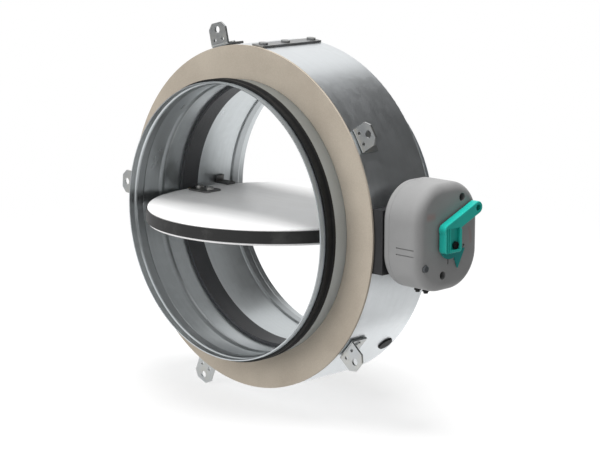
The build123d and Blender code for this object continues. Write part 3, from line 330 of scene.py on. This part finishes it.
def swelling_strip(name):
    """Graphite strip under a woven skin, dull and dark grey."""
    shade = Shade(name)
    thread_y = 0.0016
    thread_z = 0.0020
    weave = (shade.y * (2 * pi / thread_y)).sine() * (shade.z * (2 * pi / thread_z)).sine()
    cloud = shade.noise(25, detail=4)
    colour = shade.blend(cloud.span(0.3, 0.7), *graphite)
    roughness = 0.5 + (cloud - 0.5) * 0.2
    return shade.finish(colour, roughness, shade.bump(weave, 0.0001))


def moulded(name, darker, lighter, roughness, marks=None):
    """Moulded plastic with a fine eroded texture and slight flow clouds."""
    shade = Shade(name)
    eroded = shade.noise(2600, detail=3, roughness=0.7)
    flow = shade.noise(22, detail=4)
    colour = shade.blend((flow * 0.7 + eroded * 0.3).span(0.3, 0.7), darker, lighter)
    if marks is not None:
        colour = marks(shade, colour)
    uneven = roughness + (flow - 0.5) * 0.16
    return shade.finish(colour, uneven, shade.bump(eroded, 0.00004, 0.6), specular=0.45)


def face_print_and_shade(shade, colour):
    """Housing cover: two faded red fields, painted shade in the wells and slits, dark index line.
    """
    on_face = shade.x.span(cover_face - 0.0006, cover_face - 0.0003)
    arc = radius(shade.y, shade.z).near(arc_r, 0.0012, 0.0020) * field(shade, *arc_window)
    red = (field(shade, *red_block, edge=0.0024) + arc * 0.6) * on_face
    colour = shade.blend(red * 0.35, colour, faded_red)

    line_depth = shade.x.span(line_shade_start, line_shade_full)
    line = field(shade, *index_line, edge=0.0001) * line_depth

    well_depth = shade.x.span(cover_face - 0.0060, cover_face - 0.0010, 1, 0)
    well_depth = well_depth * shade.x.span(well_shade_start, well_shade_full)
    wells = field(shade, *upper_well).most(field(shade, *lower_well)) * well_depth

    slits = shade.z.near(upper_slit, 0.0004, 0.0006)
    slits = slits.most(shade.z.near(lower_slit, 0.0004, 0.0006, level=0.7))
    slits = slits * shade.y.near(slit_place, 0.0003, 0.0007)
    slits = slits * shade.x.near(slit_middle, 0.0095, 0.0100)

    # Painted shade in the screws' wells and the slits, and the dark index line
    dark = wells.most(line).most(slits * 0.5)
    return shade.blend(dark * 0.8, colour, dark_line_and_painted_shade)


def recess_shade(shade, colour):
    """Painted shade: slightly darker teal on the floor of the lever's recess."""
    sunk = shade.x.span(handle_face - 0.0024, handle_face - 0.0004, 1, 0)
    recess = field(shade, *lever_recess, edge=0.0002) * sunk
    return shade.blend(recess * 0.15, colour, recess_shade_teal)


def rear_shade(shade, colour):
    """Painted shade: darker grey on the hidden rear of the housing, against the drum."""
    rear = shade.x.span(rear_shade_full, rear_shade_end, 0.85, 0.0)
    return shade.blend(rear, colour, rear_painted_shade)


def zinc_plated(name, base, shine):
    """Zinc-plated pressed steel: a cool sheen, faint yellow passivation and handling marks."""
    shade = Shade(name)
    cloud = shade.noise(60, detail=5, roughness=0.6)
    scratch = shade.noise(500, detail=4, stretch=(1, 0.08, 1))
    warm = (base[0] * 1.12, base[1] * 1.07, base[2] * 0.98)
    colour = shade.blend(cloud.span(0.35, 0.75), base, warm)
    roughness = cloud * 0.22 + scratch * 0.12 + shine - 0.1
    relief = cloud * 0.5 + scratch * 0.5
    return shade.finish(colour, roughness, shade.bump(relief, 0.00015), metallic=1.0)


def turned(name, base, shine):
    """Turned metal with fine tool lines round the axle axis."""
    shade = Shade(name)
    tool_step = 0.0004
    lines = (shade.x * (2 * pi / tool_step)).sine()
    uneven = shade.noise(250, detail=3)
    darker = tuple(0.88 * part for part in base)
    colour = shade.blend(uneven.span(0.3, 0.7), darker, base)
    roughness = shine + uneven * 0.12
    relief = lines * 0.5 + uneven * 0.5
    return shade.finish(colour, roughness, shade.bump(relief, 0.00003), metallic=1.0)


def give(material, *names):
    """Puts one material on these CAD nodes."""
    for name in names:
        mesh = nodes[name].data
        mesh.materials.clear()
        mesh.materials.append(material)


def dress_nodes():
    """Finishes of the CAD nodes."""
    tunnel_sheet = galvanised("galvanised_tunnel", *tunnel_zinc, 0.20, groove_crest_r)
    give(tunnel_sheet, "tunnel")
    give(galvanised("galvanised_drum", *drum_zinc, 0.22), "drum_shell")
    give(zinc_plated("seam_zinc", seam_zinc, 0.38), "drum_seam_strip", "seam_rivets")
    lugs = [f"fixing_lug_{number}" for number in range(1, 6)]
    give(zinc_plated("zinc_lugs", lug_zinc, 0.28), *lugs, "lug_rivets")
    brackets = ("open_stop", "closed_stop", "drive_bracket", "idle_bracket")
    give(zinc_plated("dull_zinc", dull_zinc, 0.40), *brackets)
    screws = ("bracket_screws", "bracket_nuts", "base_screws")
    give(zinc_plated("screw_zinc", screw_zinc, 0.28), *screws)
    give(zinc_plated("black_screws", black_zinc, 0.35), "cover_screws", "handle_screw")

    axles = ("drive_axle", "idle_axle", "spring_arbor")
    give(turned("turned_steel", axle_steel, 0.22), *axles)
    give(turned("pin_steel", pin_steel, 0.20), "latch_pin", "trip_pin")
    give(turned("sintered_bronze", bronze, 0.38), "drive_bush", "idle_bush")
    give(turned("turned_brass", brass, 0.22), "fuse_holder", "fusible_link")
    springs = ("closing_spring", "latch_spring", "axle_clip")
    give(turned("blued_steel", blued_steel, 0.30), *springs)

    give(fire_board("beige_board"), "core_ring")
    give(blade_board("blade_board"), "blade_upper_plate", "blade_lower_plate")
    give(swelling_strip("graphite_strip"), "intumescent_strip")
    duct_rubber = ("front_lip_seal", "rear_lip_seal", "spare_hole_plug", "cable_entry_plugs")
    give(rubber("black_rubber", duct_seal_tone), *duct_rubber)
    give(rubber("blade_rubber", blade_seal_tone), "blade_seal_front", "blade_seal_rear")

    give(moulded("black_plastic", *black_plastic, 0.45), "mechanism_base")
    give(moulded("dark_plastic", *dark_plastic, 0.42), "release_button", "latch_pawl")
    give(moulded("grey_back", *grey_plastic, 0.48, rear_shade), "housing_back")
    give(moulded("grey_plastic", *grey_plastic, 0.46, face_print_and_shade), "housing_cover")
    give(moulded("teal_plastic", *teal_plastic, 0.42, recess_shade), "handle")
    give(moulded("dark_teal", *dark_teal_plastic, 0.42), "pointer")


def stage_grey(name, grey):
    """Matt grey of a card."""
    return Shade(name).finish((grey, grey, grey), stage_roughness, specular=0.0)


def stage_floor():
    """Pale floor that thins out into the white background, so that only a soft shadow shows."""
    shade = Shade("floor")
    distance = radius(shade.x, shade.y)
    cover = distance.span(floor_cover_r, floor_clear_r, floor_cover, 0.0)
    grey = (floor_grey, floor_grey, floor_grey)
    return shade.finish(grey, stage_roughness, specular=0.0, alpha=cover)


def card(name, centre, size, grey, target=(0, 0, 0)):
    """Card of a light tent that only reflections show, turned towards the target."""
    bpy.ops.mesh.primitive_plane_add(size=1, location=centre)
    panel = bpy.context.object
    panel.name = name
    panel.scale = (*size, 1)
    facing = Vector(target) - Vector(centre)
    panel.rotation_euler = facing.to_track_quat("Z", "Y").to_euler()
    panel.data.materials.append(stage_grey(name, grey))
    panel.visible_camera = False
    panel.visible_diffuse = False
    panel.visible_shadow = False


def floor_card(name, x, y, lift, size, grey):
    """Card that lies just above the floor."""
    card(name, (x, y, floor_height + lift), size, grey, (x, y, overhead))


def area_light(name, place, size, power):
    """Softbox that points at the damper and doesn't show in reflections."""
    lamp = bpy.data.lights.new(name, "AREA")
    lamp.shape = "SQUARE"
    lamp.size = size
    lamp.energy = power
    holder = bpy.data.objects.new(name, lamp)
    bpy.context.scene.collection.objects.link(holder)
    holder.location = place
    holder.rotation_euler = Vector(place).to_track_quat("Z", "Y").to_euler()
    holder.visible_camera = False
    holder.visible_glossy = False


def white_world():
    """World that is white to the camera and in reflections, and softer as a light."""
    world = bpy.data.worlds.new("studio")
    bpy.context.scene.world = world
    world.use_nodes = True
    tree = Tree(world.node_tree)
    shown = tree.add("ShaderNodeLightPath", output="Is Camera Ray")
    for ray in ("Is Glossy Ray", "Is Transmission Ray"):
        shown = shown.most(tree.add("ShaderNodeLightPath", output=ray))
    strength = shown.span(0.0, 1.0, diffuse_world, shown_world, "LINEAR")
    tree.fill(world.node_tree.nodes["Background"], {"Color": (1, 1, 1), "Strength": strength})


def light_stage():
    """Pale floor, world, lamps and the cards that the sheet metal reflects."""
    bpy.ops.mesh.primitive_circle_add(
        vertices=floor_sides,
        radius=floor_r,
        fill_type="NGON",
        location=(0, 0, floor_height),
    )
    floor = bpy.context.object
    floor.name = "floor"
    floor.data.materials.append(stage_floor())

    white_world()
    area_light("key_light", (-0.6, -2.6, 0.9), size=2.4, power=55)
    area_light("top_light", (0.1, 0.0, 2.6), size=1.5, power=92)

    # The two dark cards give the drum its dark band, and the grey ones tone the other metal
    card("dark_card_rear", (0.95, 1.50, 0.90), (2.8, 2.6), grey=0.08)
    floor_card("dark_card_floor", 1.30, 1.22, 0.002, (2.1, 2.1), grey=0.025)
    floor_card("grey_card_floor", 0.4775, 0.55, 0.001, (0.665, 1.1), grey=0.42)
    card("grey_card_front", (1.55, -1.60, 0.05), (1.9, 1.6), grey=0.16)
    card("grey_card_right", (2.50, -0.20, 0.70), (1.3, 1.5), grey=0.30)
    card("grey_card_left", (-2.40, -0.60, 0.40), (1.6, 1.4), grey=0.22)
    card("grey_card_far_left", (-1.70, -1.90, 0.10), (1.0, 1.2), grey=0.12)


def place_camera():
    """Camera at the photo's angle and distance, with the damper enlarged."""
    back = Vector(
        (
            sin(camera_azimuth) * cos(camera_elevation),
            -cos(camera_azimuth) * cos(camera_elevation),
            sin(camera_elevation),
        )
    )
    lens = bpy.data.cameras.new("camera")
    holder = bpy.data.objects.new("camera", lens)
    bpy.context.scene.collection.objects.link(holder)
    holder.location = camera_origin + back * camera_distance
    facing_back = holder.location - camera_target
    holder.rotation_euler = facing_back.to_track_quat("Z", "Y").to_euler()
    lens.sensor_width = film_width
    lens.lens = film_width * focal_pixels / frame_width * enlargement
    bpy.context.scene.camera = holder


dress_nodes()
light_stage()
place_camera()
bpy.context.scene.view_settings.view_transform = "Standard"
